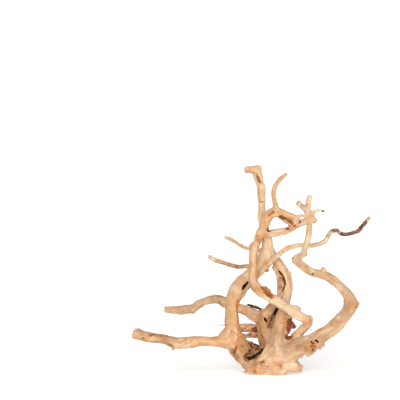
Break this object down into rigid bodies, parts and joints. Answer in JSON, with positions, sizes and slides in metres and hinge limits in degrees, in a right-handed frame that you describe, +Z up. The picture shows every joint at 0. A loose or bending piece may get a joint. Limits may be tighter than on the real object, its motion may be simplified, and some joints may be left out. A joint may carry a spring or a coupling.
{
  "type": "azalea root",
  "caption": "Bare branching azalea root that stands on a flat foot, with crossing stems, an arched limb, broken stubs and thin wavy twigs.",
  "frame": {"origin": "on the sawn foot, in the plane that the root stands on", "axes": "+X to the right and +Y away from the viewer in the picture, +Z up"},
  "size_m": [0.3818, 0.1337, 0.3335],
  "materials": {
    "azalea_wood": "bare, dry, barkless wood, matt to silky, cream to tan with red-brown scars"
  },
  "bodies": {
    "root": {"azalea_root": "azalea_wood"}
  },
  "joints": []
}
